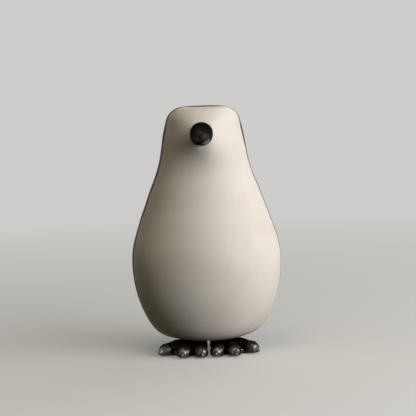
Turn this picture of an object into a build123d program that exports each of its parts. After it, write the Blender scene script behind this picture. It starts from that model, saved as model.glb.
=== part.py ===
from build123d import *
import os
from math import cos, exp, pi, radians, sin, sqrt

# Penguin ornament: a white stone front bonded to a black stone back, with a cast bronze beak
# and two cast bronze feet. Millimetres, +Z up, the penguin looks towards -Y.

# Heights, from the felt upwards
HEIGHT = 198.0
FELT_THICKNESS = 1.0
FOOT_HEIGHT = 10.0
BELLY_RISE = 64.4
NECK_DROP = 26.0
FOREHEAD_RISE = 9.0
CROWN_ROUNDING = 10.0

# Half width, front depth and back depth of the body at each of its stations
BASE_HALF, BASE_FRONT, BASE_BACK = 27.5, 26.5, 24.5
BELLY_HALF, BELLY_FRONT, BELLY_BACK = 60.7, 53.0, 49.0
SHOULDER_HALF, SHOULDER_FRONT, SHOULDER_BACK = 50.8, 45.4, 40.9
NECK_HALF, NECK_FRONT, NECK_BACK = 36.7, 34.8, 31.9
HEAD_HALF, HEAD_FRONT, HEAD_BACK = 32.1, 30.5, 29.0
CROWN_HALF, CROWN_FRONT, CROWN_BACK = 26.9, 25.1, 25.1

# The wedge of the face: how far it stands out, how far it fades above and below the beak,
# how full its outline is at the cheeks, the nose and the crown, and its turn in degrees
MUZZLE = 12.0
MUZZLE_FADE_UP = 12.0
MUZZLE_FADE_DOWN = 17.0
CHEEK_FULLNESS = 0.34
NOSE_FULLNESS = 0.34
CROWN_FULLNESS = 0.70
FACE_TURN = -6.3
CROWN_TILT = 1.0

# The flat joint between the two stones, in front of the widest line, and its dowels
SEAM_FORWARD = 7.0
DOWEL_RADIUS = 3.0
DOWEL_DEPTH = 12.0
LOWER_DOWEL_RISE = 34.0
UPPER_DOWEL_DROP = 30.0

# Beak, with the recess that it sits in and the pin that holds it
BEAK_SEAT_DEPTH = 8.0
BEAK_RADIUS = 9.0
BEAK_LENGTH = 21.0
BEAK_ROOT = 6.5
BEAK_COLLAR = 0.5
BEAK_TIP_RADIUS = 1.6
BEAK_DROOP = 6.0
BEAK_HOOK = 1.2
MOUTH_DROP = 1.0
LOWER_BILL_STEP = 1.0
LOWER_BILL_SETBACK = 4.0
BEAK_PIN_RADIUS = 2.0
BEAK_PIN_IN_BEAK = 8.0
BEAK_PIN_IN_STONE = 14.0

# Feet, with the turn of the whole stance: ankles, heels, toes with claws, webs, studs and felts
ANKLE_SPACING = 24.0
ANKLE_BACK = 2.0
ANKLE_RADIUS = 8.0
HEEL_HALF_WIDTH = 10.5
HEEL_HALF_LENGTH = 15.0
STANCE_TURN = -4.0
FOOT_TURNOUT = 12.0
INNER_TOE_ANGLE = 20.0
OUTER_TOE_ANGLE = 28.0
TOE_LENGTH = 44.0
OUTER_TOE_LENGTH = 41.0
TOE_ROOT_RADIUS = 6.4
TOE_TIP_RADIUS = 5.8
TOE_TIP_HEIGHT = 3.0
TOE_TOP_GAP = 0.4
CLAW_LENGTH = 3.5
CLAW_RADIUS = 2.6
CLAW_TIP_RADIUS = 1.2
WEB_REACH = 37.0
WEB_SCALLOP = 2.5
WEB_HEIGHT = 5.5
STUD_RADIUS = 3.0
STUD_FLOOR = 4.0
STUD_IN_STONE = 18.0
FELT_INSET = 1.5

# Fits: pins in their holes, at the sides and at the ends, the beak in its recess,
# the resin between the feet and the stone, and how deep fused forms run into each other
PIN_CLEARANCE = 0.05
PIN_END_GAP = 0.3
SEAT_CLEARANCE = 0.1
RESIN_BED = 0.1
OVERLAP = 1.0

# Outlines that the body is drawn through, from the base to the belly, in each stretch
# from there to the beak, and round the crown, and outlines along each half of the beak
BOWL_STEPS, RISE_STEPS, CROWN_STEPS, BILL_STEPS = 4, 3, 5, 6

# Handle length that makes a cubic curve follow a quarter of an ellipse
ROUND = 4 / 3 * (sqrt(2) - 1)

underside_z = FELT_THICKNESS + FOOT_HEIGHT
belly_z = underside_z + BELLY_RISE
rounding_z = HEIGHT - CROWN_ROUNDING
head_z = rounding_z - FOREHEAD_RISE
neck_z = head_z - NECK_DROP
shoulder_z = (belly_z + neck_z) / 2
face_turn = radians(FACE_TURN)
beak_droop = radians(BEAK_DROOP)
seat_reach = HEAD_FRONT + MUZZLE - BEAK_SEAT_DEPTH
stud_in_foot = FOOT_HEIGHT - STUD_FLOOR
toe_root_z = underside_z - TOE_TOP_GAP - TOE_ROOT_RADIUS
toe_tip_z = FELT_THICKNESS + TOE_TIP_HEIGHT

# The origin lies under the middle of the depth, which runs from the beak's tip to the back
tip_reach = (seat_reach + BEAK_LENGTH * cos(beak_droop)) * cos(face_turn)
axis_y = (tip_reach - BELLY_BACK) / 2

stations = (belly_z, shoulder_z, neck_z, head_z, HEIGHT)
half_widths = (BELLY_HALF, SHOULDER_HALF, NECK_HALF, HEAD_HALF, CROWN_HALF)
front_depths = (BELLY_FRONT, SHOULDER_FRONT, NECK_FRONT, HEAD_FRONT, CROWN_FRONT)
back_depths = (BELLY_BACK, SHOULDER_BACK, NECK_BACK, HEAD_BACK, CROWN_BACK)


def profile(values, z):
    """The smooth curve through one value at each station, upright at the belly."""
    last = len(stations) - 1
    rises = [stations[i + 1] - stations[i] for i in range(last)]
    slopes = [(values[i + 1] - values[i]) / rises[i] for i in range(last)]
    inner_slopes = [
        (rises[i] * slopes[i - 1] + rises[i - 1] * slopes[i]) / (rises[i] + rises[i - 1])
        for i in range(1, last)
    ]
    tangents = [0.0] + inner_slopes + [slopes[-1]]
    i = max(k for k in range(last) if k == 0 or z >= stations[k])
    t = (z - stations[i]) / rises[i]
    blend = t * t * (3 - 2 * t)
    start_pull = t * (1 - t) ** 2 * rises[i] * tangents[i]
    end_pull = t * t * (t - 1) * rises[i] * tangents[i + 1]
    return values[i] * (1 - blend) + values[i + 1] * blend + start_pull + end_pull


def muzzle_share(z):
    """How much of the face's wedge stands at a height: 1 at the beak, fading both ways."""
    fade = MUZZLE_FADE_UP if z > head_z else MUZZLE_FADE_DOWN
    return exp(-(((z - head_z) / fade) ** 2))


def body_outline(z, half, front, back, tilt=0.0):
    """An outline of the body in four curves, two from the flanks to the nose and two to the spine."""
    share = muzzle_share(z)
    plain_front = CROWN_FULLNESS if z > head_z else ROUND
    cheek = ROUND + (CHEEK_FULLNESS - ROUND) * share
    nose = plain_front + (NOSE_FULLNESS - plain_front) * share
    reach = front + MUZZLE * share
    turn = face_turn * share
    tip = Vector(sin(turn), -cos(turn)) * reach
    across = Vector(cos(turn), sin(turn)) * half * nose
    spine = Vector(0, back)
    with BuildSketch(Plane((0, axis_y, z)).rotated((tilt, 0, 0))) as outline:
        with BuildLine():
            for side in (1, -1):
                flank = Vector(side * half, 0)
                hip = flank + Vector(0, back * ROUND)
                Bezier(flank, flank + Vector(0, -reach * cheek), tip + across * side, tip)
                Bezier(flank, hip, spine + Vector(side * half * ROUND, 0), spine)
        make_face()
    return outline.sketch


def bowl_outline(angle):
    """An outline of the bowl under the belly, a quarter of an ellipse from the flat base."""
    spread = sin(angle)
    return body_outline(
        belly_z - BELLY_RISE * cos(angle),
        BASE_HALF + (BELLY_HALF - BASE_HALF) * spread,
        BASE_FRONT + (BELLY_FRONT - BASE_FRONT) * spread,
        BASE_BACK + (BELLY_BACK - BASE_BACK) * spread,
    )


def upper_outline(z, inset=0.0, tilt=0.0):
    """An outline from the belly up, drawn in by the inset where the crown is rounded."""
    return body_outline(
        z,
        profile(half_widths, z) - inset,
        profile(front_depths, z) - inset,
        profile(back_depths, z) - inset,
        tilt,
    )


def crown_outline(share):
    """An outline on the crown's rounding, leaning back a little more towards the top."""
    angle = pi / 2 * share
    inset = CROWN_ROUNDING * (1 - cos(angle))
    return upper_outline(rounding_z + CROWN_ROUNDING * sin(angle), inset, CROWN_TILT * share)


rise_heights = [
    start + (end - start) * step / RISE_STEPS
    for start, end in zip(stations[:3], stations[1:4])
    for step in range(RISE_STEPS)
]
body_outlines = [bowl_outline(pi / 2 * step / BOWL_STEPS) for step in range(BOWL_STEPS)]
body_outlines += [upper_outline(z) for z in rise_heights]
body_outlines += [upper_outline(z) for z in (head_z, (head_z + rounding_z) / 2)]
body_outlines += [crown_outline(step / CROWN_STEPS) for step in range(CROWN_STEPS + 1)]

# The whole body, before it is parted at the seam
with BuildPart() as body:
    loft(body_outlines)


def seam_plane(z):
    """The plane of the seam, facing forwards, with its origin at a height."""
    return Plane((0, axis_y - SEAM_FORWARD, z), x_dir=(1, 0, 0), z_dir=(0, -1, 0))


# Planes at the joints between the pieces
dowel_planes = {
    "lower_dowel": seam_plane(underside_z + LOWER_DOWEL_RISE),
    "upper_dowel": seam_plane(head_z - UPPER_DOWEL_DROP),
}
beak_seat = Plane(
    (seat_reach * sin(face_turn), axis_y - seat_reach * cos(face_turn), head_z),
    x_dir=(cos(face_turn), sin(face_turn), 0),
    z_dir=(sin(face_turn) * cos(beak_droop), -cos(face_turn) * cos(beak_droop), -sin(beak_droop)),
)
sole = Plane.XY.offset(FELT_THICKNESS)
ankles = {
    "left": Vector(ANKLE_SPACING / 2, axis_y + ANKLE_BACK, underside_z),
    "right": Vector(-ANKLE_SPACING / 2, axis_y + ANKLE_BACK, underside_z),
}

# White stone front, with the beak's recess and pin hole and half of each dowel hole
with BuildPart() as white_front:
    add(body.part)
    split(bisect_by=seam_plane(0), keep=Keep.TOP)
    with Locations(beak_seat.offset(BEAK_LENGTH)):
        CounterBoreHole(
            radius=BEAK_PIN_RADIUS + PIN_CLEARANCE,
            counter_bore_radius=BEAK_RADIUS + SEAT_CLEARANCE,
            counter_bore_depth=BEAK_LENGTH,
            depth=BEAK_LENGTH + BEAK_PIN_IN_STONE,
        )
    with Locations(*[-plane for plane in dowel_planes.values()]):
        Hole(DOWEL_RADIUS + PIN_CLEARANCE, DOWEL_DEPTH)
white_front.part.label = "white_front"

# Black stone back, with the other halves of the dowel holes and the holes for the foot studs
with BuildPart() as black_back:
    add(body.part)
    split(bisect_by=seam_plane(0), keep=Keep.BOTTOM)
    with Locations(*dowel_planes.values()):
        Hole(DOWEL_RADIUS + PIN_CLEARANCE, DOWEL_DEPTH)
    with Locations(*[-Plane(ankle) for ankle in ankles.values()]):
        Hole(STUD_RADIUS + PIN_CLEARANCE, STUD_IN_STONE)
black_back.part.label = "black_back"

pieces = [white_front.part, black_back.part]


def pin(label, plane, radius, below, above):
    """A round pin through a plane, with broken edges, short of both hole ends by the end gap."""
    with BuildPart(plane.offset((above - below) / 2)) as rod:
        Cylinder(radius, below + above - 2 * PIN_END_GAP)
        chamfer(rod.edges().filter_by(GeomType.CIRCLE), PIN_END_GAP)
    rod.part.label = label
    return rod.part


# Steel dowels across the seam
for name, plane in dowel_planes.items():
    pieces.append(pin(name, plane, DOWEL_RADIUS, DOWEL_DEPTH, DOWEL_DEPTH))


def bill_outlines(length, radius, side):
    """Outlines along the beak's upper (+1) or lower (-1) half, from the root to a hooked point."""
    start = BEAK_ROOT - OVERLAP
    outlines = []
    for step in range(BILL_STEPS + 1):
        angle = pi / 2 * step / BILL_STEPS
        along = start + (length - start) * sin(angle)
        size = BEAK_TIP_RADIUS + (radius - BEAK_TIP_RADIUS) * cos(angle)
        hook = BEAK_HOOK * ((along - start) / (BEAK_LENGTH - start)) ** 2
        ridge = Vector(0, side * size - hook)
        mouth = -MOUTH_DROP * size / radius - hook
        if side < 0:
            mouth += OVERLAP
        with BuildSketch(beak_seat.offset(along)) as outline:
            with BuildLine():
                for edge in (1, -1):
                    corner = Vector(edge * size, mouth)
                    upright = Vector(0, (ridge.Y - mouth) * ROUND)
                    Bezier(corner, corner + upright, ridge + Vector(edge * size * ROUND, 0), ridge)
                Line((size, mouth), (-size, mouth))
            make_face()
        outlines.append(outline.sketch)
    return outlines


# Cast beak: a round root in the recess, the upper bill and a smaller, shorter lower bill
upper_radius = BEAK_RADIUS - BEAK_COLLAR
lower_radius = upper_radius - LOWER_BILL_STEP
upper_bill = bill_outlines(BEAK_LENGTH, upper_radius, 1)
lower_bill = bill_outlines(BEAK_LENGTH - LOWER_BILL_SETBACK, lower_radius, -1)
with BuildPart() as beak:
    with BuildSketch(beak_seat):
        Circle(BEAK_RADIUS)
    extrude(amount=BEAK_ROOT)
    loft(upper_bill)
    loft(lower_bill)
    with Locations(-beak_seat):
        Hole(BEAK_PIN_RADIUS + PIN_CLEARANCE, BEAK_PIN_IN_BEAK)
beak.part.label = "beak"
pieces.append(beak.part)
pieces.append(pin("beak_pin", beak_seat, BEAK_PIN_RADIUS, BEAK_PIN_IN_STONE, BEAK_PIN_IN_BEAK))


def toe_direction(ankle, fan_step):
    """Where a toe points, level with the ground: -1 is the inner toe and 1 the outer one."""
    toe_angle = radians(OUTER_TOE_ANGLE if fan_step > 0 else INNER_TOE_ANGLE)
    outward = 1 if ankle.X > 0 else -1
    turn = radians(STANCE_TURN) + outward * (radians(FOOT_TURNOUT) + fan_step * toe_angle)
    return Vector(sin(turn), -cos(turn))


def toe(ankle, fan_step):
    """A tapered toe with a blunt end and a claw, turned about its own sloping line."""
    length = OUTER_TOE_LENGTH if fan_step > 0 else TOE_LENGTH
    root = Vector(ankle.X, ankle.Y, toe_root_z)
    run = toe_direction(ankle, fan_step) * length + Vector(0, 0, toe_tip_z - toe_root_z)
    upright = Plane(root, x_dir=run, z_dir=run.cross(Vector(0, 0, 1)))
    end = length - TOE_TIP_RADIUS
    claw_end = length + CLAW_LENGTH
    with BuildPart() as digit:
        with BuildSketch(upright):
            with BuildLine():
                Line((length, 0), (0, 0))
                Line((0, 0), (0, TOE_ROOT_RADIUS))
                Bezier(
                    (0, TOE_ROOT_RADIUS),
                    (end / 2, TOE_ROOT_RADIUS),
                    (end / 2, TOE_TIP_RADIUS),
                    (end, TOE_TIP_RADIUS),
                )
                RadiusArc((end, TOE_TIP_RADIUS), (length, 0), TOE_TIP_RADIUS)
            make_face()
            with BuildLine():
                Polyline((length, CLAW_RADIUS), (claw_end, CLAW_TIP_RADIUS), (claw_end, 0), (end, 0))
                Polyline((end, 0), (end, CLAW_RADIUS), (length, CLAW_RADIUS))
            make_face()
        revolve(axis=Axis(upright.origin, upright.x_dir))
    return digit.part


def sole_outline(ankle, plane, inset=0.0):
    """The heel's oval and the webs, scalloped between the toes, drawn in by the inset."""
    centre = Vector(ankle.X, ankle.Y)
    reach = WEB_REACH - inset
    ends = [centre + toe_direction(ankle, fan_step) * reach for fan_step in (-1, 0, 1)]
    with BuildSketch(plane) as outline:
        with Locations(centre):
            Ellipse(HEEL_HALF_WIDTH - inset, HEEL_HALF_LENGTH - inset)
        with BuildLine():
            Line(centre, ends[0])
            for start, end in zip(ends, ends[1:]):
                middle = (start + end) / 2
                ThreePointArc(start, middle + (centre - middle).normalized() * WEB_SCALLOP, end)
            Line(ends[-1], centre)
        make_face()
    return outline.sketch


# Cast feet, cut flat at the sole, with the stud and the felt that belong to each
for side_name, ankle in ankles.items():
    toes = [toe(ankle, fan_step) for fan_step in (-1, 0, 1)]
    web_outline = sole_outline(ankle, sole)
    felt_outline = sole_outline(ankle, Plane.XY, FELT_INSET)
    with BuildPart() as foot:
        with BuildSketch(sole):
            with Locations((ankle.X, ankle.Y)):
                Ellipse(HEEL_HALF_WIDTH, HEEL_HALF_LENGTH)
        with BuildSketch(sole.offset(FOOT_HEIGHT - RESIN_BED)):
            with Locations((ankle.X, ankle.Y)):
                Circle(ANKLE_RADIUS)
        loft()
        extrude(web_outline, amount=WEB_HEIGHT)
        for digit in toes:
            add(digit)
        split(bisect_by=sole, keep=Keep.TOP)
        with Locations(Plane(ankle)):
            Hole(STUD_RADIUS + PIN_CLEARANCE, stud_in_foot)
    foot.part.label = f"{side_name}_foot"
    with BuildPart() as felt_pad:
        extrude(felt_outline, amount=FELT_THICKNESS)
    felt_pad.part.label = f"{side_name}_felt_pad"
    stud = pin(f"{side_name}_foot_stud", Plane(ankle), STUD_RADIUS, stud_in_foot, STUD_IN_STONE)
    pieces += [foot.part, stud, felt_pad.part]

os.makedirs("parts", exist_ok=True)
for piece in pieces:
    export_step(piece, f"parts/{piece.label}.step")
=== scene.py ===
# %% [markdown]
# # A stone penguin with a bronze beak and bronze feet
# The ornament is two carved stones, a white front and a black back, bonded along one flat seam.
# A cast beak is let into the face and two cast feet stand on felt.
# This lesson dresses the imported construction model: the model fixes every place and size,
# and each cell below makes one piece or one finish around it, in metres and in the same frame.

import math

import bmesh
import bpy
import numpy as np
from mathutils import Matrix, Quaternion, Vector, noise
from mathutils.bvhtree import BVHTree


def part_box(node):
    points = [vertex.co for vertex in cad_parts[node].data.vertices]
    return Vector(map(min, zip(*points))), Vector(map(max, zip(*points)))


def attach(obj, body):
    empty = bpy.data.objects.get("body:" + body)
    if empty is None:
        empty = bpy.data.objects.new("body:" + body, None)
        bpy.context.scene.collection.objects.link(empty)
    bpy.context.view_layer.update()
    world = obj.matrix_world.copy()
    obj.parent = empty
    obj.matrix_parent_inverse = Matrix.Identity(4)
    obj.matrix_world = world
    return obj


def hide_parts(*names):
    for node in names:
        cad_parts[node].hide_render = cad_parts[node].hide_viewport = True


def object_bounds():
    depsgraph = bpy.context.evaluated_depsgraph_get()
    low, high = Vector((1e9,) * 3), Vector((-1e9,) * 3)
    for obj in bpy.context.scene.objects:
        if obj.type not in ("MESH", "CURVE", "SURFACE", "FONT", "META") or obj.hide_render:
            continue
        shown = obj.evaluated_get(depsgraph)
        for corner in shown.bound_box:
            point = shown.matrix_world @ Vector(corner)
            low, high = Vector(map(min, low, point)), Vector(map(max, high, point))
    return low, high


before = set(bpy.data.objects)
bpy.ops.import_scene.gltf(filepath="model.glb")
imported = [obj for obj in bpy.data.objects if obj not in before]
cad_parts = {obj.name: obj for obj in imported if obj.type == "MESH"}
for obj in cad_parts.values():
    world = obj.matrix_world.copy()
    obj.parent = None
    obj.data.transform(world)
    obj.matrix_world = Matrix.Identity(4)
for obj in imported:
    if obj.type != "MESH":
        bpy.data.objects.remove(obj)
cad_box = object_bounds()
scene = bpy.context.scene
MM = 0.001
box_mm = [round(x / MM, 1) for x in cad_box[1] - cad_box[0]]
print("frame:", len(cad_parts), "nodes, box", box_mm, "mm")

# %% [markdown]
# ## The camera
# The picture was taken from a little above, almost straight from the front and with a long lens.
# A camera can be aimed with a Track To constraint, but the picture also leans by a degree and a
# half, so the aim is worked out as a quaternion and a small roll about the lens axis is added.
# Places are measured from an upright line through the figure, which the camera looks at.

# %% Camera
AXIS_Y = 0.0030
CAMERA_AZIMUTH = math.radians(-4.2)
CAMERA_DISTANCE, CAMERA_HEIGHT = 1.4, 0.2767
AIM_HEIGHT, AIM_RIGHT = 0.1156, 0.0023
CAMERA_ROLL = math.radians(-1.58)
LENS = 150.4


def add_object(name, data):
    """A new object in the scene, for a camera, a lamp or a mesh."""
    made = bpy.data.objects.new(name, data)
    scene.collection.objects.link(made)
    return made


away = Vector((math.sin(CAMERA_AZIMUTH), -math.cos(CAMERA_AZIMUTH), 0))
image_right = Vector((math.cos(CAMERA_AZIMUTH), math.sin(CAMERA_AZIMUTH), 0))
aim = Vector((0, AXIS_Y, AIM_HEIGHT)) + image_right * AIM_RIGHT
camera = add_object("camera", bpy.data.cameras.new("camera"))
camera.location = Vector((0, AXIS_Y, CAMERA_HEIGHT)) + away * CAMERA_DISTANCE
camera.rotation_mode = "QUATERNION"
looking = (aim - camera.location).to_track_quat("-Z", "Y")
camera.rotation_quaternion = looking @ Quaternion((0, 0, 1), CAMERA_ROLL)
camera.data.lens = LENS
scene.camera = camera
print("camera at", [round(x, 3) for x in camera.location])

# %% [markdown]
# ## Small helpers for node materials
# Every finish is a node tree. It could be wired by hand in the Shader Editor; in a script a few
# short functions keep the cells readable. One fills the sockets of a node, with a value or, when
# it is given another node's output, with a link. The others add one kind of node each and hand
# back what a finish needs from it.

# %% Node helpers
def fill(tree, node, **sockets):
    """Fills sockets by name, with underscores for spaces, or by number, written as _0."""
    for name, value in sockets.items():
        key = int(name[1:]) if name[1:].isdigit() else name.replace("_", " ")
        socket = node.inputs[key]
        if isinstance(value, bpy.types.NodeSocket):
            tree.links.new(value, socket)
        elif socket.type == "RGBA":
            socket.default_value = (*value, 1)
        else:
            socket.default_value = value
    return node


def add_node(tree, kind, **sockets):
    """A new node with its sockets filled."""
    return fill(tree, tree.nodes.new("ShaderNode" + kind), **sockets)


def new_material(name):
    """A material, its tree, and the Principled shader that the tree starts with."""
    made = bpy.data.materials.new(name)
    made.use_nodes = True
    return made, made.node_tree, made.node_tree.nodes["Principled BSDF"]


def spread(tree, value, span, to):
    """A value mapped from one span to another and held inside it."""
    made = add_node(tree, "MapRange", Value=value, From_Min=span[0], From_Max=span[1],
                    To_Min=to[0], To_Max=to[1])
    return made.outputs["Result"]


def combine(tree, operation, first, second=0.0):
    """The result of a Math node."""
    made = add_node(tree, "Math", _0=first, _1=second)
    made.operation = operation
    return made.outputs[0]


def blend_colour(tree, share, first, second):
    """A mix of two colours; 6, 7 and 2 are the places of a Mix node's colour sockets."""
    made = tree.nodes.new("ShaderNodeMix")
    made.data_type = "RGBA"
    return fill(tree, made, _0=share, _6=first, _7=second).outputs[2]


print("node helpers ready")

# %% [markdown]
# ## The floor
# A plain pale floor carries the figure's shadow. It could be a large plane in one flat colour, but
# its far edge would draw a horizon, so it is a disc that fades into the world's colour away from
# the figure.
# The floor is pale only for the camera and for reflections. For light that merely bounces it
# counts as much darker, or it would brighten the underside of the figure.

# %% Floor
FLOOR_RADIUS, FLOOR_SIDES = 4.0, 96
FLOOR_COLOUR, FLOOR_BOUNCE = (0.74, 0.73, 0.71), (0.06, 0.053, 0.032)
FLOOR_ROUGHNESS, FLOOR_SHINE = 0.9, 0.1
WORLD_COLOUR = (0.62, 0.61, 0.595)
GLOW_NEAR, GLOW_START, GLOW_END = 0.25, 0.08, 0.90


def direct_rays(tree):
    """1 for rays from the camera or a reflection, 0 for rays that only carry light."""
    seen = add_node(tree, "LightPath")
    share = seen.outputs["Is Camera Ray"]
    for other in ("Is Glossy Ray", "Is Transmission Ray"):
        share = combine(tree, "MAXIMUM", share, seen.outputs[other])
    return share


def floor_paint():
    """Pale paint that gives way to a glow in the world's colour away from the figure."""
    made, tree, shader = new_material("floor_paint")
    rays = direct_rays(tree)
    fill(tree, shader, Base_Color=blend_colour(tree, rays, FLOOR_BOUNCE, FLOOR_COLOUR),
         Roughness=FLOOR_ROUGHNESS, Specular_IOR_Level=FLOOR_SHINE)
    far = add_node(tree, "VectorMath", _0=add_node(tree, "TexCoord").outputs["Object"])
    far.operation = "LENGTH"
    fade = spread(tree, far.outputs["Value"], (GLOW_START, GLOW_END), (GLOW_NEAR, 1.0))
    glow = add_node(tree, "Emission", Color=WORLD_COLOUR, Strength=1.0)
    both = add_node(tree, "MixShader", _0=combine(tree, "MULTIPLY", fade, rays),
                    _1=shader.outputs[0], _2=glow.outputs[0])
    fill(tree, tree.nodes["Material Output"], Surface=both.outputs[0])
    return made


def finished_mesh(name, shell):
    """A mesh made from an editable shell, which is freed."""
    mesh = bpy.data.meshes.new(name)
    shell.to_mesh(mesh)
    shell.free()
    return mesh


def make_floor():
    """A wide disc under the figure."""
    disc = bmesh.new()
    bmesh.ops.create_circle(disc, cap_ends=True, segments=FLOOR_SIDES, radius=FLOOR_RADIUS)
    made = add_object("floor", finished_mesh("floor", disc))
    made.data.materials.append(floor_paint())
    return made


make_floor()
print("floor:", 2 * FLOOR_RADIUS, "m across")

# %% [markdown]
# ## The lamps
# The key light is one wide soft panel on the right, like a window, so that the left cheek and
# flank fall into soft shade. A narrow panel further round draws a sheen along the right flank.
# Two weak, slightly warm panels high in front and on the left keep the shade readable, and a weak
# one behind shows the form of the black back.
# Spot or sun lamps would draw hard shadows; an area lamp's shadow is as soft as the lamp is wide.
# Each panel is placed by its angle round the figure, 0 being in front, and above the ground.

# %% Lamps
PANEL_AIM = Vector((0, 0, 0.1))
PLAIN_LIGHT, WARM_LIGHT = (1.0, 1.0, 1.0), (1.0, 0.93, 0.72)
# name, angle round the figure, angle above the ground, distance, width and height, watts, tint
PANELS = (
    ("key_panel", 51, 20, 1.25, (1.2, 0.8), 14.8, PLAIN_LIGHT),
    ("edge_panel", 86, 8, 1.10, (0.3, 0.6), 2.6, PLAIN_LIGHT),
    ("front_panel", -6, 62, 1.6, (1.0, 1.0), 4.2, WARM_LIGHT),
    ("upper_left_panel", -60, 74, 1.6, (1.0, 1.0), 2.6, WARM_LIGHT),
    ("back_panel", 150, 36, 1.6, (1.0, 1.0), 4.0, PLAIN_LIGHT),
)


def add_panel(name, azimuth, elevation, distance, size, watts, tint):
    """A soft panel that faces the middle of the figure."""
    a, e = math.radians(azimuth), math.radians(elevation)
    out = Vector((math.sin(a) * math.cos(e), -math.cos(a) * math.cos(e), math.sin(e)))
    lamp = bpy.data.lights.new(name, "AREA")
    lamp.shape = "RECTANGLE"
    lamp.size, lamp.size_y = size
    lamp.energy = watts
    lamp.color = tint
    made = add_object(name, lamp)
    made.location = PANEL_AIM + out * distance
    made.rotation_mode = "QUATERNION"
    made.rotation_quaternion = (-out).to_track_quat("-Z", "Y")


for panel in PANELS:
    add_panel(*panel)
print("lamps:", len(PANELS), "panels")

# %% [markdown]
# ## The world
# Behind the floor stands a world of the colour that the floor fades into. A picture of a room
# could light the figure instead, but plain lamps are easier to set one by one. Like the floor, the
# world is pale only for the camera and for reflections, and gives just a faint fill light.

# %% World
FILL_COLOUR = (0.022, 0.018, 0.009)

scene.world = bpy.data.worlds.new("studio")
scene.world.use_nodes = True
sky = scene.world.node_tree
sky_colour = blend_colour(sky, direct_rays(sky), FILL_COLOUR, WORLD_COLOUR)
fill(sky, sky.nodes["Background"], Color=sky_colour)
scene.view_settings.view_transform = "Standard"
print("world:", scene.world.name, "with", len(sky.nodes), "nodes")

# %% [markdown]
# ## How the stones are resurfaced
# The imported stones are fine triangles. A carver's surface is calmer: long even rows of quads that
# run from one seam edge over the front, or the back, to the other edge.
# Such rows could be drawn by hand and shrink-wrapped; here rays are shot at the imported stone
# from outside towards the middle of the seam, and every hit becomes a point of the grid.
# The rows tip downwards below the belly and upwards over the crown, so the grid has no pole.

# %% Rows and columns of the stone grid
FRONT, BACK = -1, 1
SEAM_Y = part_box("white_front")[1].y
LOW_Z, HIGH_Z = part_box("black_back")[0].z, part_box("black_back")[1].z
COLUMNS = 120
BOWL_ROWS, FLANK_ROWS, CROWN_ROWS = 44, 64, 48
BOWL_START, BOWL_END = LOW_Z + 0.026, LOW_Z + 0.062
CROWN_START, CROWN_END = HIGH_Z - 0.034, HIGH_Z - 0.011


def stone_rows():
    """Height and tip of every row, from the base's edge of the seam to the crown's edge."""
    rows = []
    for k in range(BOWL_ROWS):
        share = k / BOWL_ROWS
        rows.append((BOWL_START + (BOWL_END - BOWL_START) * share, (share - 1) * math.pi / 2))
    for k in range(FLANK_ROWS):
        rows.append((BOWL_END + (CROWN_START - BOWL_END) * k / FLANK_ROWS, 0.0))
    for k in range(CROWN_ROWS + 1):
        share = k / CROWN_ROWS
        rows.append((CROWN_START + (CROWN_END - CROWN_START) * share, share * math.pi / 2))
    return rows


def row_directions(tip, side):
    """Unit directions along a row of the front or the back stone."""
    out = Vector((0, side * math.cos(tip), math.sin(tip)))
    turns = [math.pi * k / COLUMNS for k in range(COLUMNS + 1)]
    return [Vector((math.cos(t), 0, 0)) + out * math.sin(t) for t in turns]


print("stone grid:", len(stone_rows()), "rows of", COLUMNS + 1, "points")

# %% [markdown]
# ## Spanning the openings
# A ray that falls into a drilled opening goes too deep, so those hits are left out and the gap is
# filled from its rim, the way a membrane spans a hoop: each open point takes the mean of its four
# neighbours, over and over, until it comes to rest. A light smoothing then removes the small
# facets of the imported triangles. A Smooth modifier could do this, but it would pull in the seam's
# edge too; here the edge is smoothed only along itself.

# %% Fill and smooth
OPENING_REACH = 0.02
SPAN_PASSES, SMOOTHING_PASSES = 1500, 6


def in_opening(point, openings):
    """Whether a hit lies inside one of the drilled openings, given as centre, axis and radius."""
    for centre, axis, radius in openings:
        offset = point - centre
        along = offset.dot(axis)
        if abs(along) < OPENING_REACH and (offset - axis * along).length < radius:
            return True
    return False


def neighbour_sum(grid):
    """The sum of each inner point's four neighbours."""
    return grid[:-2, 1:-1] + grid[2:, 1:-1] + grid[1:-1, :-2] + grid[1:-1, 2:]


def fill_and_smooth(reach, open_cells):
    """The grid of distances with its openings spanned and its small facets smoothed away."""
    reach[open_cells] = reach[~open_cells].mean()
    for _ in range(SPAN_PASSES if open_cells.any() else 0):
        level = neighbour_sum(np.pad(reach, 1, mode="edge")) / 4
        reach[open_cells] = level[open_cells]
    for _ in range(SMOOTHING_PASSES):
        inner = reach[1:-1, 1:-1] / 2 + neighbour_sum(reach) / 8
        for edge in (0, -1):
            reach[1:-1, edge] = reach[1:-1, edge] / 2 + (reach[:-2, edge] + reach[2:, edge]) / 4
            reach[edge, 1:-1] = reach[edge, 1:-1] / 2 + (reach[edge, :-2] + reach[edge, 2:]) / 4
        reach[1:-1, 1:-1] = inner
    return reach


print("openings:", SPAN_PASSES, "passes to span,", SMOOTHING_PASSES, "to smooth")

# %% [markdown]
# ## Casting the grid
# Now the rays can be shot and the points placed. The last touch is the carver's hand: a slow,
# shallow waviness, inwards only, which both stones share because it depends on the place alone.
# A Displace modifier could add it, but noise read point by point keeps the depth within a limit.

# %% Cast the grid
FAR_OUT = 0.3
NUDGE = 0.00003
WAVE_DEPTH, WAVE_SCALE = 0.00022, 34.0
WAVE_MEAN, WAVE_SWING, WAVE_GAIN = 0.65, 0.5, 1.4


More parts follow.
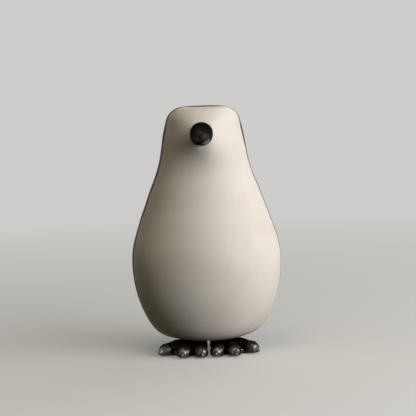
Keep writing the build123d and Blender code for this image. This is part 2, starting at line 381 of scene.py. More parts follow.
def shoot_rays(node, side, openings):
    """How far a packed stone reaches from the seam's middle, and which points lie over openings."""
    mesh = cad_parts[node].data
    tree = BVHTree.FromPolygons([v.co for v in mesh.vertices], [p.vertices for p in mesh.polygons])
    rows = stone_rows()
    reach = np.zeros((len(rows), COLUMNS + 1))
    open_cells = np.zeros(reach.shape, bool)
    for i, (height, tip) in enumerate(rows):
        middle = Vector((0, SEAM_Y, height)) + Vector((0, side * NUDGE, 0))
        for j, out in enumerate(row_directions(tip, side)):
            hit = tree.ray_cast(middle + out * FAR_OUT, -out, FAR_OUT)[0]
            open_cells[i, j] = hit is None or in_opening(hit, openings)
            reach[i, j] = 0 if hit is None else (hit - middle).length
    return reach, open_cells


def carving(place):
    """How deep the chisel went at a place, as a share of the wave's depth."""
    wave = max(-1, min(1, WAVE_GAIN * noise.noise(place * WAVE_SCALE)))
    return WAVE_MEAN + WAVE_SWING * wave


def cast_stone(node, side, openings):
    """Rows of points on a packed stone, with the carver's waviness."""
    reach, open_cells = shoot_rays(node, side, openings)
    points = []
    for distances, (height, tip) in zip(fill_and_smooth(reach, open_cells), stone_rows()):
        row = []
        for distance, out in zip(distances, row_directions(tip, side)):
            place = Vector((0, SEAM_Y, height)) + out * distance
            row.append(place - out * WAVE_DEPTH * carving(place))
        points.append(row)
    print(node, "cast:", int(open_cells.sum()), "points lie over openings")
    return points


print("carving is at most", round((WAVE_MEAN + WAVE_SWING) * WAVE_DEPTH / MM, 2), "mm deep")

# %% [markdown]
# ## Closing a stone
# The grid is closed by one flat face in the seam, and the edge all round that face is eased with
# a narrow bevel, as a mason breaks a sharp arris before bonding two stones. A Bevel modifier
# would need those edges marked first; done here, they are simply the edges of the seam's face.

# %% Close a stone
ARRIS, ARRIS_STEPS = 0.00025, 2


def new_piece(name, mesh):
    """A piece of the object that rides on its one body."""
    made = add_object(name, mesh)
    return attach(made, "root")


def close_stone(name, points):
    """A closed stone from its rows, with the seam's edge eased."""
    shell = bmesh.new()
    grid = [[shell.verts.new(p) for p in row] for row in points]
    for low, high in zip(grid, grid[1:]):
        for j in range(COLUMNS):
            shell.faces.new((low[j], low[j + 1], high[j + 1], high[j]))
    right = [row[0] for row in grid]
    left = [row[-1] for row in grid]
    loop = right[:-1] + grid[-1][:-1] + left[:0:-1] + grid[0][:0:-1]
    seam = shell.faces.new(loop)
    bmesh.ops.recalc_face_normals(shell, faces=shell.faces)
    bmesh.ops.bevel(shell, geom=list(seam.edges), offset=ARRIS, segments=ARRIS_STEPS, profile=0.5,
                    affect="EDGES", clamp_overlap=False)
    return new_piece(name, finished_mesh(name, shell))


print("seam edge eased by", ARRIS / MM, "mm")

# %% [markdown]
# ## Drilling
# The holes for dowels, studs and beak are cut with the Boolean modifier, because cutting a round
# hole by hand would spoil the even rows. Its Manifold solver is quick and leaves the mesh closed.
# Every modifier is applied at once, since the next hole is cut into the mesh that it leaves.

# %% Drill holes
HOLE_SIDES = 64
PIN_CLEARANCE = 0.00005


def apply_modifiers(piece):
    """The piece's mesh as its modifiers shape it, with the modifiers gone."""
    bpy.context.view_layer.update()
    shaped = piece.evaluated_get(bpy.context.evaluated_depsgraph_get())
    plain = piece.data
    piece.data = bpy.data.meshes.new_from_object(shaped)
    piece.modifiers.clear()
    bpy.data.meshes.remove(plain)


def drill(piece, holes):
    """Round holes cut into a piece, each given as its mouth, the way in, radius and depth."""
    for mouth, way_in, radius, depth in holes:
        rod = bmesh.new()
        bmesh.ops.create_cone(rod, cap_ends=True, segments=HOLE_SIDES, radius1=radius,
                              radius2=radius, depth=depth)
        turn = way_in.to_track_quat("Z", "Y").to_matrix().to_4x4()
        rod.transform(Matrix.Translation(mouth + way_in * depth / 2) @ turn)
        mesh = finished_mesh("cutter", rod)
        cutter = add_object("cutter", mesh)
        cut = piece.modifiers.new("drill", "BOOLEAN")
        cut.operation = "DIFFERENCE"
        cut.object = cutter
        cut.solver = "MANIFOLD"
        apply_modifiers(piece)
        bpy.data.objects.remove(cutter)
        bpy.data.meshes.remove(mesh)


def rod_hole(mouth, way_in, radius, depth):
    """A hole for a rod, with its clearance, begun just outside its mouth for a clean cut."""
    return mouth - way_in * MM, way_in, radius + PIN_CLEARANCE, depth + MM


print("holes:", HOLE_SIDES, "sides,", PIN_CLEARANCE / MM, "mm clearance round a rod")

# %% [markdown]
# ## Where the holes go
# The beak leaves the face along its own line, turned a little to one side and drooping. That line
# starts at the beak's seat, the floor of its recess, and is found from the beak's pin, whose middle
# lies a few millimetres behind the seat. The other holes start at the seam, for the dowels, and at
# the foot of the stone, for the studs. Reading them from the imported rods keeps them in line.

# %% Places of the holes
FACE_TURN, BEAK_DROOP = math.radians(-6.3), math.radians(6.0)
PIN_MIDDLE_BEHIND_SEAT = 0.003


def node_middle(node):
    """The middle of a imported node's box."""
    low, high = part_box(node)
    return (low + high) / 2


beak_line = Vector((math.sin(FACE_TURN) * math.cos(BEAK_DROOP),
                    -math.cos(FACE_TURN) * math.cos(BEAK_DROOP), -math.sin(BEAK_DROOP)))
beak_right = Vector((math.cos(FACE_TURN), math.sin(FACE_TURN), 0))
beak_up = beak_line.cross(beak_right)
beak_seat = node_middle("beak_pin") + beak_line * PIN_MIDDLE_BEHIND_SEAT
forward, backward, upward = Vector((0, -1, 0)), Vector((0, 1, 0)), Vector((0, 0, 1))
dowels = [Vector((0, SEAM_Y, node_middle(name).z)) for name in ("lower_dowel", "upper_dowel")]
studs = [Vector((node_middle(name).x, node_middle(name).y, LOW_Z))
         for name in ("left_foot_stud", "right_foot_stud")]
print("beak seat at", [round(x / MM, 1) for x in beak_seat], "mm")

# %% [markdown]
# ## The two stones
# Both stones get half of each dowel hole; the front one also gets the beak's recess and pin hole,
# the back one the holes of the two foot studs. The stones are smooth shaded, so that the quads
# look like one carved surface, but the rims of the holes and of the seam stay crisp.

# %% Cut the stones
SEAT_RADIUS, SEAT_DEPTH = 0.0091, 0.021
PIN_RADIUS, DOWEL_RADIUS, STUD_RADIUS = 0.002, 0.003, 0.003
PIN_DEPTH, DOWEL_DEPTH, STUD_DEPTH = 0.014, 0.012, 0.018
RIM = 0.0006
STONE_CREASE = 40


def smooth_shading(piece, sharp_above):
    """Smooth shading with edges kept sharp above an angle in degrees."""
    piece.data.polygons.foreach_set("use_smooth", [True] * len(piece.data.polygons))
    piece.data.set_sharp_from_angle(angle=math.radians(sharp_above))


white_stone = close_stone("white_stone_front", cast_stone(
    "white_front", FRONT, [(beak_seat, beak_line, SEAT_RADIUS + RIM)]))
drill(white_stone, [(beak_seat + beak_line * SEAT_DEPTH, -beak_line, SEAT_RADIUS, SEAT_DEPTH),
                    rod_hole(beak_seat, -beak_line, PIN_RADIUS, PIN_DEPTH)])
drill(white_stone, [rod_hole(dowel, forward, DOWEL_RADIUS, DOWEL_DEPTH) for dowel in dowels])
black_stone = close_stone("black_stone_back", cast_stone(
    "black_back", BACK, [(stud, upward, STUD_RADIUS + RIM) for stud in studs]))
drill(black_stone, [rod_hole(dowel, backward, DOWEL_RADIUS, DOWEL_DEPTH) for dowel in dowels])
drill(black_stone, [rod_hole(stud, upward, STUD_RADIUS, STUD_DEPTH) for stud in studs])
for stone, node, slot in ((white_stone, "white_front", "white_stone"),
                          (black_stone, "black_back", "black_stone")):
    smooth_shading(stone, STONE_CREASE)
    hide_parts(node)
    print(stone.name, len(stone.data.vertices), "points")

# %% [markdown]
# ## White stone
# The front is a pale cream stone with a wax polish: slow clouds of warmer and cooler cream, a few
# faint tan veins, and a satin gloss that is a little uneven. An image wrapped round the stone would
# stretch and show a seam; noise in the object's own coordinates runs through the block as in real
# stone. A vein is a line where a slow noise passes its middle value.

# %% White stone finish
CREAM, WARM_CREAM, TAN = (0.78, 0.735, 0.685), (0.73, 0.67, 0.60), (0.50, 0.40, 0.28)
WHOLE = (0.0, 1.0)
NOISE_SPAN, CLOUD_SPAN = (0.3, 0.7), (0.38, 0.68)
VEIN_WIDTH, VEIN_SPAN, VEIN_STRENGTH = (0.0, 0.03), (0.46, 0.66), (0.0, 0.13)
CREAM_SPECKS, CREAM_SPECK_STRENGTH = (0.60, 0.78), (0.0, 0.12)
WHITE_GLOSS, WHITE_SHINE, WHITE_RELIEF = (0.38, 0.50), 0.07, 0.06
GRAIN_DEPTH = 0.0002


def noise_value(tree, where, scale, detail=3.0, roughness=0.5, distortion=0.0):
    """A noise pattern's value; the scale is in features per metre."""
    made = add_node(tree, "TexNoise", Vector=where, Scale=scale, Detail=detail,
                    Roughness=roughness, Distortion=distortion)
    return made.outputs["Fac"]


def relief(tree, height, strength, depth):
    """A surface roughened by a Bump node, for a shader's Normal socket."""
    return add_node(tree, "Bump", Strength=strength, Distance=depth, Height=height).outputs[0]


def white_stone_finish():
    made, tree, shader = new_material("white_stone")
    where = add_node(tree, "TexCoord").outputs["Object"]
    clouds = noise_value(tree, where, 22, detail=4, roughness=0.55, distortion=0.4)
    body = blend_colour(tree, spread(tree, clouds, CLOUD_SPAN, WHOLE), CREAM, WARM_CREAM)
    slow = noise_value(tree, where, 16, detail=5, distortion=1.2)
    off_middle = combine(tree, "ABSOLUTE", combine(tree, "SUBTRACT", slow, 0.5))
    line = spread(tree, off_middle, VEIN_WIDTH, WHOLE[::-1])
    patches = spread(tree, noise_value(tree, where, 14, detail=2), VEIN_SPAN, VEIN_STRENGTH)
    veined = blend_colour(tree, combine(tree, "MULTIPLY", line, patches), body, TAN)
    grain = noise_value(tree, where, 420, roughness=0.6)
    specks = spread(tree, grain, CREAM_SPECKS, CREAM_SPECK_STRENGTH)
    polish = noise_value(tree, where, 90, detail=4, roughness=0.6)
    fill(tree, shader, Base_Color=blend_colour(tree, specks, veined, TAN),
         Roughness=spread(tree, polish, NOISE_SPAN, WHITE_GLOSS),
         Specular_IOR_Level=WHITE_SHINE, Normal=relief(tree, grain, WHITE_RELIEF, GRAIN_DEPTH))
    return made


def dress(piece, finish):
    """Gives a piece one finish in place of any it has."""
    piece.data.materials.clear()
    piece.data.materials.append(finish)


dress(white_stone, white_stone_finish())
print("white stone finished with", white_stone.data.materials[0].name)

# %% [markdown]
# ## Black stone
# The back is a dense black stone, polished a little less than the front. One flat black would look
# like paint, and real black stone never is: it has greyer clouds and scattered pale grains, which
# show only close by. They are made from noise in the same way as the white stone's.

# %% Black stone finish
BLACK, CHARCOAL, GREY_GRAIN = (0.011, 0.011, 0.0105), (0.026, 0.026, 0.025), (0.10, 0.10, 0.095)
GREY_SPECKS, GREY_SPECK_STRENGTH = (0.66, 0.74), (0.0, 0.5)
BLACK_GLOSS, BLACK_SHINE, BLACK_RELIEF = (0.44, 0.58), 0.14, 0.08


def black_stone_finish():
    made, tree, shader = new_material("black_stone")
    where = add_node(tree, "TexCoord").outputs["Object"]
    clouds = noise_value(tree, where, 45, detail=5, roughness=0.6, distortion=0.6)
    body = blend_colour(tree, spread(tree, clouds, CLOUD_SPAN, WHOLE), BLACK, CHARCOAL)
    grain = noise_value(tree, where, 700, detail=2)
    specks = spread(tree, grain, GREY_SPECKS, GREY_SPECK_STRENGTH)
    polish = noise_value(tree, where, 120, detail=4, roughness=0.6)
    fill(tree, shader, Base_Color=blend_colour(tree, specks, body, GREY_GRAIN),
         Roughness=spread(tree, polish, NOISE_SPAN, BLACK_GLOSS),
         Specular_IOR_Level=BLACK_SHINE, Normal=relief(tree, grain, BLACK_RELIEF, GRAIN_DEPTH))
    return made


dress(black_stone, black_stone_finish())
print("black stone finished with", black_stone.data.materials[0].name)

# %% [markdown]
# ## Casting in bronze
# Beak and feet are small castings, so their forms run softly into each other. They could be
# sculpted; here the forms are drawn as closed tubes of rings, joined, and melted into one skin with
# the Remesh modifier in voxel mode, much as wax parts are joined before casting. That keeps every
# size a named value. A little smoothing takes the voxels' steps away.

# %% Rings, tubes and melting
RING_POINTS = 40
SMOOTH_FACTOR = 0.5


def turn_of(k):
    """The angle of a ring's point, from the right over the top."""
    return 2 * math.pi * k / RING_POINTS


def tube(shell, rings):
    """A closed tube through rings that have the same number of points."""
    hoops = [[shell.verts.new(p) for p in ring] for ring in rings]
    count = len(hoops[0])
    for low, high in zip(hoops, hoops[1:]):
        for k in range(count):
            shell.faces.new((low[k], low[(k + 1) % count], high[(k + 1) % count], high[k]))
    shell.faces.new(hoops[0][::-1])
    shell.faces.new(hoops[-1])


def melt(piece, voxel, smoothing):
    """Melts a piece into one even skin and smooths away the steps of the voxels."""
    skin = piece.modifiers.new("melt", "REMESH")
    skin.mode = "VOXEL"
    skin.voxel_size = voxel
    calm = piece.modifiers.new("calm", "SMOOTH")
    calm.factor = SMOOTH_FACTOR
    calm.iterations = smoothing
    apply_modifiers(piece)


def cast_bronze(name, wax, voxel, smoothing):
    """One casting from all the closed tubes of its wax."""
    bmesh.ops.recalc_face_normals(wax, faces=wax.faces)
    piece = new_piece(name, finished_mesh(name, wax))
    melt(piece, voxel, smoothing)
    return piece


print("rings of", RING_POINTS, "points")

# %% [markdown]
# ## The beak
# The beak is short and stout and points almost straight out of the face: a round root in the
# recess, an upper bill with a hooked tip that overhangs, and a smaller lower bill that ends sooner.
# Each bill is a tube of rings that shrink along a quarter of an ellipse, like a blunt bullet.
# The lower bill is a whole oval tucked up into the upper one, so its sides turn in under the upper
# lip and leave the groove of the mouth. A cut groove would be sharper than a casting's.

# %% Rings of the beak
BEAK_LENGTH, BEAK_ROOT = 0.021, 0.0065
TIP_RADIUS, HOOK, MOUTH_DROP = 0.0016, 0.0012, 0.0002
BILL_START, BILL_RINGS = BEAK_ROOT - MM, 26
BILL_END, TIP_BLUNTNESS = 0.995, 0.35
LIP, TUCK = 0.00035, 0.30


def beak_point(x, y, along):
    """A place given across, up and along the beak from its seat."""
    return beak_seat + beak_right * x + beak_up * y + beak_line * along


def beak_ring(along, centre, wide, above, below):
    """One oval ring across the beak, with its own height above and below its centre."""
    ring = []
    for k in range(RING_POINTS):
        x, y = math.cos(turn_of(k)), math.sin(turn_of(k))
        ring.append(beak_point(wide * x, centre + (above if y > 0 else below) * y, along))
    return ring


def bill_rings(length, radius, is_upper):
    """Rings of a bill from inside the root to its tip."""
    rings = []
    for step in range(BILL_RINGS + 1):
        angle = math.pi / 2 * BILL_END * step / BILL_RINGS
        along = BILL_START + (length - BILL_START) * math.sin(angle)
        blunt = TIP_RADIUS * math.cos(angle) ** TIP_BLUNTNESS
        size = blunt + (radius - TIP_RADIUS) * math.cos(angle)
        hook = HOOK * ((along - BILL_START) / (BEAK_LENGTH - BILL_START)) ** 2
        mouth = -MOUTH_DROP * size / radius - hook
        if is_upper:
            rings.append(beak_ring(along, mouth, size, size - hook - mouth, LIP))
        else:
            depth = mouth + size + hook
            half = (1 - TUCK) * depth
            rings.append(beak_ring(along, mouth - TUCK * depth, size, half, half))
    return rings


print("bills of", BILL_RINGS + 1, "rings, beak", BEAK_LENGTH / MM, "mm long")

# %% [markdown]
# The three tubes are joined and melted. The voxels are small, because the beak is what one looks at
# first and its lips are thin. The pin's hole is drilled last, into the finished casting, as it
# would be in a workshop.

# %% Cast the beak
UPPER_RADIUS, LOWER_RADIUS, LOWER_SETBACK = 0.0088, 0.0080, 0.0034
ROOT_PROFILE = ((0.0002, 0.0087), (0.0005, 0.0090), (0.0045, 0.0090), (0.0065, 0.0087))
BEAK_VOXEL, BEAK_SMOOTHING = 0.00022, 2
PIN_IN_BEAK = 0.008

beak_wax = bmesh.new()
tube(beak_wax, [beak_ring(along, 0, size, size, size) for along, size in ROOT_PROFILE])
tube(beak_wax, bill_rings(BEAK_LENGTH, UPPER_RADIUS, True))
tube(beak_wax, bill_rings(BEAK_LENGTH - LOWER_SETBACK, LOWER_RADIUS, False))
beak = cast_bronze("bronze_beak", beak_wax, BEAK_VOXEL, BEAK_SMOOTHING)
drill(beak, [rod_hole(beak_seat, beak_line, PIN_RADIUS, PIN_IN_BEAK)])
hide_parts("beak")
print("beak:", len(beak.data.vertices), "points")

# %% [markdown]
# ## The toes
# Each foot is one casting: a mound at the ankle, three toes that fan out, webs between them and a
# claw on each toe. Along the top of every toe run scutes, the overlapping bands of a bird's foot.
# A sculptor would cut them one by one; here the rings of the toe's tube swell at each scute, a
# little unevenly, so that no two toes are alike.
# The sole is cut flat by holding every point at the height of the felt.

# %% Toes
SOLE_Z = 0.001
STANCE_TURN, FOOT_TURNOUT = -4.0, 12.0
TOE_ROOT, TOE_TIP, TOE_END = 0.0064, 0.0062, 0.008
TOE_ROOT_Z, TOE_TIP_Z = 0.0042, 0.0040
TOE_RINGS, TOE_ROUNDING = 144, 0.92
KNUCKLES, KNUCKLE_SHIFT, KNUCKLE_SWELL = 2.2, 0.15, 0.0004
SCUTES, SCUTE_DEPTH, SCUTE_LEVEL, SCUTE_RISE = 11, 0.0006, 0.6, 6
UNEVENNESS, UNEVEN_BEAT, UNEVEN_BY_TOE = 0.35, 17, 9


def on_sole(point):
    """The point, held above the flat of the sole."""
    return Vector((point.x, point.y, max(point.z, SOLE_Z)))


def toe_way(outward, fan):
    """Where a toe points, for its angle from the middle toe."""
    turn = math.radians(STANCE_TURN + outward * (FOOT_TURNOUT + fan))
    return Vector((math.sin(turn), -math.cos(turn), 0))


def eased(share):
    """A share from 0 to 1 that starts and ends gently."""
    return share * share * (3 - 2 * share)


def toe_swelling(share, way):
    """The knuckles all round a toe and the scutes on its top, at a share of its length."""
    knuckle = KNUCKLE_SWELL * math.cos(2 * math.pi * (share * KNUCKLES - KNUCKLE_SHIFT))
    uneven = UNEVENNESS * math.sin(share * UNEVEN_BEAT + way.x * UNEVEN_BY_TOE)
    scute = (share * SCUTES + uneven) % 1.0
    return knuckle, SCUTE_DEPTH * (scute - SCUTE_LEVEL) * min(1.0, share * SCUTE_RISE)


def toe_rings(root, way, length):
    """Rings along a toe, with knuckles and scutes that fade towards its rounded end."""
    across = way.cross(upward)
    rings = []
    for step in range(TOE_RINGS + 1):
        share = step / TOE_RINGS
        end = max(0.0, 1 - (length - length * share) / TOE_END)
        thick = TOE_ROOT + (TOE_TIP - TOE_ROOT) * eased(share)
        thick *= math.sqrt(1 - TOE_ROUNDING * end * end)
        knuckle, scute = (swell * (1 - end) for swell in toe_swelling(share, way))
        middle = root + way * (length * share) + upward * ((TOE_TIP_Z - TOE_ROOT_Z) * share)
        ring = []
        for k in range(RING_POINTS):
            x, y = math.cos(turn_of(k)), math.sin(turn_of(k))
            size = thick + knuckle + scute * max(0.0, y) ** 0.5
            ring.append(on_sole(middle + across * x * size + upward * y * size))
        rings.append(ring)
    return rings


print("toes:", TOE_RINGS + 1, "rings,", SCUTES, "scutes each")

# %% [markdown]
# ## The claws
# A short, blunt claw leaves the end of every toe and bends to the ground. It could be drawn out of
# the toe's own tube; a second tube that starts well inside the toe is simpler, and the melting
# joins the two.

# %% Claws
CLAW_LENGTH, CLAW_RADIUS, CLAW_RINGS = 0.0034, 0.0026, 12
CLAW_OVERLAP, CLAW_SLIMNESS = 0.006, 0.85
CLAW_TAPER, CLAW_TIP = 2.4, 0.03
CLAW_HEIGHT, CLAW_BEND = 0.0050, 0.0022


def claw_rings(root, way, length):
    """Rings of a claw that leaves the toe's end and bends to the ground."""
    across = way.cross(upward)
    rings = []
    for step in range(CLAW_RINGS + 1):
        share = step / CLAW_RINGS
        along = length - CLAW_OVERLAP + (CLAW_LENGTH + CLAW_OVERLAP) * share
        size = CLAW_RADIUS * math.sqrt(max(CLAW_TIP, 1 - share ** CLAW_TAPER))
        height = CLAW_HEIGHT - CLAW_BEND * share * share
        middle = Vector((root.x, root.y, height)) + way * along
        rings.append([on_sole(middle + across * size * CLAW_SLIMNESS * math.cos(turn_of(k))
                              + upward * size * math.sin(turn_of(k)))
                      for k in range(RING_POINTS)])
    return rings


print("claws:", CLAW_LENGTH / MM, "mm past the toe")

# %% [markdown]
# ## Webs and ankles
# A web fills the space between two toes. It slopes down to a scalloped front edge and sags a little
# in the middle, like skin between two fingers. It is drawn as flat rings that go out over the top
# and come back along the sole. The ankle is a low mound that carries the stone: it narrows upwards
# and ends a hair's breadth below the stone.

# %% Webs and ankles
WEB_RINGS, WEB_REACH, WEB_TOP = 16, 0.037, 0.0065
WEB_SCALLOP, WEB_SLOPE, WEB_SAG = 0.10, 0.35, 0.25
ANKLE_RINGS, ANKLE_GAP = 14, 0.0001
ANKLE_WIDE_LOW, ANKLE_WIDE_TOP = 0.0113, 0.0102
ANKLE_DEEP_LOW, ANKLE_DEEP_TOP = 0.015, 0.0082


def web_rings(ankle, way_a, way_b):
    """Flat rings of the web between two toes, from the ankle to its scalloped front edge."""
    rings = []
    points_across = RING_POINTS // 2
    for step in range(WEB_RINGS + 1):
        share = step / WEB_RINGS
        ring_top, ring_low = [], []
        for k in range(points_across):
            over = k / (points_across - 1)
            way = way_a * (1 - over) + way_b * over
            sag = 4 * over * (1 - over)
            place = ankle + way * WEB_REACH * share * (1 - WEB_SCALLOP * sag * share)
            slope = (1 - WEB_SLOPE * share) * (1 - WEB_SAG * sag)
            ring_top.append(Vector((place.x, place.y, SOLE_Z + (WEB_TOP - SOLE_Z) * slope)))
            ring_low.append(Vector((place.x, place.y, SOLE_Z)))
        rings.append(ring_top + ring_low[::-1])
    return rings


def ankle_rings(ankle):
    """Rings of the mound that carries the stone."""
    rings = []
    for step in range(ANKLE_RINGS + 1):
        share = step / ANKLE_RINGS
        wide = ANKLE_WIDE_LOW + (ANKLE_WIDE_TOP - ANKLE_WIDE_LOW) * eased(share)
        deep = ANKLE_DEEP_LOW + (ANKLE_DEEP_TOP - ANKLE_DEEP_LOW) * eased(share)
        height = SOLE_Z + (LOW_Z - ANKLE_GAP - SOLE_Z) * share
        rings.append([Vector((ankle.x + wide * math.cos(turn_of(k)),
                              ankle.y + deep * math.sin(turn_of(k)), height))
                      for k in range(RING_POINTS)])
    return rings


print("ankles:", round((LOW_Z - ANKLE_GAP) / MM, 1), "mm tall")

# %% [markdown]
# ## The feet
# Now all the tubes of a foot are joined and melted into one casting, and the stud's hole is drilled
# down into the ankle. Left and right come from the same function: only the side to which the toes
# turn out differs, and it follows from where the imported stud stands. The function also tells where
# the claws are, because they will be rubbed bare later.

# %% Cast the feet
TOE_FANS, TOE_LENGTHS = (-20.0, 0.0, 28.0), (0.044, 0.044, 0.041)
FOOT_VOXEL, FOOT_SMOOTHING = 0.0003, 1
STUD_IN_FOOT = 0.006
CLAW_SPOT_SETBACK, CLAW_SPOT_HEIGHT = 0.0030, 0.0045


def make_foot(side_name, stud):
    """A foot with its three toes, and the spots where its claws are worn."""
    ankle = Vector((stud.x, stud.y, 0))
    root = ankle + upward * TOE_ROOT_Z
    outward = 1 if stud.x > 0 else -1
    ways = [toe_way(outward, fan) for fan in TOE_FANS]
    wax = bmesh.new()
    tube(wax, ankle_rings(ankle))
    spots = []
    for way, length in zip(ways, TOE_LENGTHS):
        tube(wax, toe_rings(root, way, length))
        tube(wax, claw_rings(root, way, length))
        spot_along = length + CLAW_LENGTH - CLAW_SPOT_SETBACK
        spots.append(ankle + way * spot_along + upward * CLAW_SPOT_HEIGHT)
    for way_a, way_b in zip(ways, ways[1:]):
        tube(wax, web_rings(ankle, way_a, way_b))
    made = cast_bronze(f"bronze_{side_name}_foot", wax, FOOT_VOXEL, FOOT_SMOOTHING)
    drill(made, [rod_hole(stud, -upward, STUD_RADIUS, STUD_IN_FOOT)])
    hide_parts(f"{side_name}_foot")
    print(made.name, len(made.data.vertices), "points")
    return made, spots


left_foot, left_claws = make_foot("left", studs[0])
right_foot, right_claws = make_foot("right", studs[1])

# %% [markdown]
# ## Wear on the bronze, and a painted highlight on the beak
# Handling wears the patina off high edges and brings out a little of the metal. That could be
# painted on by hand; here it is measured from the mesh itself: a point that stands above the mean
# of its neighbours is high. The value is stored as an attribute for the shader to read.
# The claws are rubbed too, each round one spot. One spot on the lower bill, on the side that the
# key light falls on, is a painted highlight: it gets the same pale metal, but only on that lit side.

# %% Measure the wear and place the beak's painted highlight
WEAR_ROUNDS = 12
BEAK_WORN_HEIGHT, FOOT_WORN_HEIGHT = 0.0009, 0.00025
SPOT_RADIUS, SPOT_EDGE = 0.0042, 2.5
# A pale spot of painted highlight on the lower bill's lit side, across, up and along the beak.
LOWER_BILL_HIGHLIGHT_SPOT = (0.0042, -0.0050, 0.0130)


def read_points(mesh, field):
    """The places or normals of all points of a mesh, one row each."""
    values = np.empty(len(mesh.vertices) * 3)
    mesh.vertices.foreach_get(field, values)
    return values.reshape(-1, 3)


def calmed(mesh, place):
    """The places of all points after each has moved to the mean of its neighbours some rounds."""
    edges = np.empty(len(mesh.edges) * 2, int)
    mesh.edges.foreach_get("vertices", edges)
    a, b = edges.reshape(-1, 2).T
    ends, others = np.concatenate((a, b)), np.concatenate((b, a))
    count = np.maximum(np.bincount(ends, minlength=len(place)), 1)
    calm = place.copy()
    for _ in range(WEAR_ROUNDS):
        sums = [np.bincount(ends, calm[others, k], len(place)) for k in range(3)]
        calm = np.stack(sums, axis=1) / count[:, None]
    return calm


def mark_wear_and_highlight(piece, worn_height, spots):
    """Stores how far each point stands out, and how near a claw or painted highlight spot it is."""
    mesh = piece.data
    place = read_points(mesh, "co")
    height = ((place - calmed(mesh, place)) * read_points(mesh, "normal")).sum(1)
    wear_and_highlight = np.clip(height / worn_height, 0, 1)
    for spot in spots:
        near = 1 - np.linalg.norm(place - np.array(spot), axis=1) / SPOT_RADIUS
        wear_and_highlight = np.maximum(wear_and_highlight, np.clip(near * SPOT_EDGE, 0, 1))
    attribute = mesh.attributes.new("wear_and_highlight", "FLOAT", "POINT")
    attribute.data.foreach_set("value", wear_and_highlight.astype(np.float32))
    print(piece.name, "worn share", round(float((wear_and_highlight > 0.5).mean()), 3))


# The beak's one spot is a painted highlight on the side of the lower bill that the key light falls
# on.
mark_wear_and_highlight(beak, BEAK_WORN_HEIGHT, [beak_point(*LOWER_BILL_HIGHLIGHT_SPOT)])
mark_wear_and_highlight(left_foot, FOOT_WORN_HEIGHT, left_claws)
mark_wear_and_highlight(right_foot, FOOT_WORN_HEIGHT, right_claws)

# %% [markdown]
# ## Dark bronze
# The bronze has a black-brown patina, thin where it is worn. One flat dark colour would look like
# plastic, so two tones cloud into each other, fine pits break up the shine, and the stored wear
# lets the bare metal through in patches. On the beak the same paler metal also makes a painted
# highlight on the lower bill's lit side. The tint at grazing angles is held down as well, since
# a patina has no bright metal rim. The beak keeps a dull patina, and the feet, which get touched,
# a shinier one.

# %% Bronze finish
DEEP_PATINA, BROWN_DEEP_PATINA = (0.007, 0.007, 0.0068), (0.013, 0.012, 0.0105)
PATINA, BROWN_PATINA = (0.012, 0.012, 0.0116), (0.023, 0.0205, 0.0175)
# The beak's pale metal shows on its worn edges and as the painted highlight on the lower bill.
BILL_BARE_AND_HIGHLIGHT, BARE_BRONZE = (0.50, 0.47, 0.44), (0.24, 0.225, 0.21)
EDGE_TINT = (0.35, 0.35, 0.34)
BEAK_GLOSS, FOOT_GLOSS = (0.40, 0.60), (0.26, 0.44)
PATINA_SPAN, PATCH_SPAN, PATCH_STRENGTH = (0.40, 0.66), (0.35, 0.65), (0.2, 1.0)
PIT_RELIEF, PIT_DEPTH = 0.4, 0.0003
BRONZE_CREASE = 70


def bronze_finish(name, black, brown, metal_colour, gloss):
    """Two patina tones, pale metal where worn or as painted highlight, between two roughnesses."""
    made, tree, shader = new_material(name)
    where = add_node(tree, "TexCoord").outputs["Object"]
    clouds = noise_value(tree, where, 160, detail=5, roughness=0.6, distortion=0.5)
    patina = blend_colour(tree, spread(tree, clouds, PATINA_SPAN, WHOLE), black, brown)
    high = add_node(tree, "Attribute")
    high.attribute_name = "wear_and_highlight"
    patches = spread(tree, noise_value(tree, where, 400), PATCH_SPAN, PATCH_STRENGTH)
    # The share of pale metal: worn places, and on the beak also the painted highlight spot.
    metal_share = combine(tree, "MULTIPLY", high.outputs["Fac"], patches)
    pits = noise_value(tree, where, 1400, detail=4, roughness=0.6)
    fill(tree, shader, Base_Color=blend_colour(tree, metal_share, patina, metal_colour),
         Metallic=1.0, Specular_Tint=EDGE_TINT,
         Roughness=spread(tree, pits, NOISE_SPAN, gloss),
         Normal=relief(tree, pits, PIT_RELIEF, PIT_DEPTH))
    return made


beak_bronze = bronze_finish("bronze_dull", DEEP_PATINA, BROWN_DEEP_PATINA, BILL_BARE_AND_HIGHLIGHT, BEAK_GLOSS)
foot_bronze = bronze_finish("bronze_handled", PATINA, BROWN_PATINA, BARE_BRONZE, FOOT_GLOSS)
for casting, finish in ((beak, beak_bronze), (left_foot, foot_bronze), (right_foot, foot_bronze)):
    smooth_shading(casting, BRONZE_CREASE)
    dress(casting, finish)
    print(casting.name, "finished with", finish.name)

# %% [markdown]
# ## Felt
# A thin pad of felt keeps the bronze off the shelf. Felt is a sheet of matted fibres, so its cut
# edge is soft and its faces are not quite flat. Real hairs would be too many for a pad that hardly
# shows; instead small noise roughens the sheet without leaving the pad's own thickness, and the
# finish adds finer fibres and a faint sheen.

# %% Felt finish and fibres
DARK_FELT, PALE_FELT = (0.012, 0.017, 0.013), (0.035, 0.046, 0.036)
FELT_ROUGHNESS, FELT_SHINE, FELT_SHEEN = 0.95, 0.2, 0.3
FIBRE_RELIEF, FIBRE_DEPTH = 0.6, 0.0003
FUZZ, FUZZ_SCALE = 0.00012, 900.0


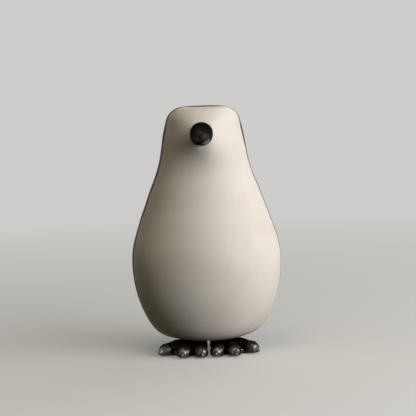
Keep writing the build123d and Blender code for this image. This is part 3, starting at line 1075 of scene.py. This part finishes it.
def felt_finish():
    made, tree, shader = new_material("felt")
    where = add_node(tree, "TexCoord").outputs["Object"]
    fibres = noise_value(tree, where, 1600, detail=5, roughness=0.7, distortion=1.5)
    mat = blend_colour(tree, spread(tree, fibres, NOISE_SPAN, WHOLE), DARK_FELT, PALE_FELT)
    fill(tree, shader, Base_Color=mat, Roughness=FELT_ROUGHNESS, Specular_IOR_Level=FELT_SHINE,
         Sheen_Weight=FELT_SHEEN, Normal=relief(tree, fibres, FIBRE_RELIEF, FIBRE_DEPTH))
    return made


def add_fuzz(mesh, low_z, high_z):
    """Roughens a felt sheet with small noise, held between two heights."""
    place = read_points(mesh, "co")
    fuzz = np.array([noise.noise(Vector(point) * FUZZ_SCALE) for point in place])
    place += read_points(mesh, "normal") * (FUZZ * fuzz)[:, None]
    place[:, 2] = place[:, 2].clip(low_z, high_z)
    mesh.vertices.foreach_set("co", place.ravel())
    mesh.update()


felt = felt_finish()
print("felt finish:", len(felt.node_tree.nodes), "nodes")

# %% [markdown]
# ## The felt pads
# Each pad starts as a copy of the imported one, which has the outline of the sole. It is melted into
# fine even faces like the castings, which also rounds its cut edge, and then roughened.

# %% Lay the pads
FELT_VOXEL, FELT_SMOOTHING = 0.00025, 3
NO_CREASE = 180

for side_name in ("left", "right"):
    node = f"{side_name}_felt_pad"
    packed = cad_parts[node].data
    low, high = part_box(node)
    pad = new_piece(f"felt_{side_name}_pad", packed.copy())
    melt(pad, FELT_VOXEL, FELT_SMOOTHING)
    add_fuzz(pad.data, low.z, high.z)
    dress(pad, felt)
    smooth_shading(pad, NO_CREASE)
    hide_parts(node)

# %% [markdown]
# ## Steel inside
# Dowels, studs and the beak's pin are drawn steel rod. They sit inside the stone and are never
# seen once the figure is assembled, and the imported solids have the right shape, so they stay and
# get a drawn-steel finish. Its fine streaks are noise that is stretched along each rod.

# %% Steel finish
DARK_STEEL, PALE_STEEL = (0.42, 0.43, 0.44), (0.60, 0.61, 0.62)
STEEL_GLOSS = (0.24, 0.40)
FINE, LONG = 3000.0, 120.0


def steel_finish(name, stretch):
    """Drawn steel whose streaks are this many to the metre in each direction."""
    made, tree, shader = new_material(name)
    where = add_node(tree, "TexCoord").outputs["Object"]
    streaks = add_node(tree, "VectorMath", _0=where, _1=stretch)
    streaks.operation = "MULTIPLY"
    drawn = noise_value(tree, streaks.outputs["Vector"], 1.0, detail=4, roughness=0.6)
    tone = spread(tree, drawn, NOISE_SPAN, WHOLE)
    fill(tree, shader, Base_Color=blend_colour(tree, tone, DARK_STEEL, PALE_STEEL),
         Roughness=spread(tree, drawn, NOISE_SPAN, STEEL_GLOSS), Metallic=1.0)
    return made


lying_rods = steel_finish("steel_lying", (FINE, LONG, FINE))
standing_rods = steel_finish("steel_standing", (FINE, FINE, LONG))
for name in ("upper_dowel", "lower_dowel", "beak_pin", "left_foot_stud", "right_foot_stud"):
    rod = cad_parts[name]
    dress(rod, standing_rods if "stud" in name else lying_rods)
    print(name, "finished with", rod.data.materials[0].name)
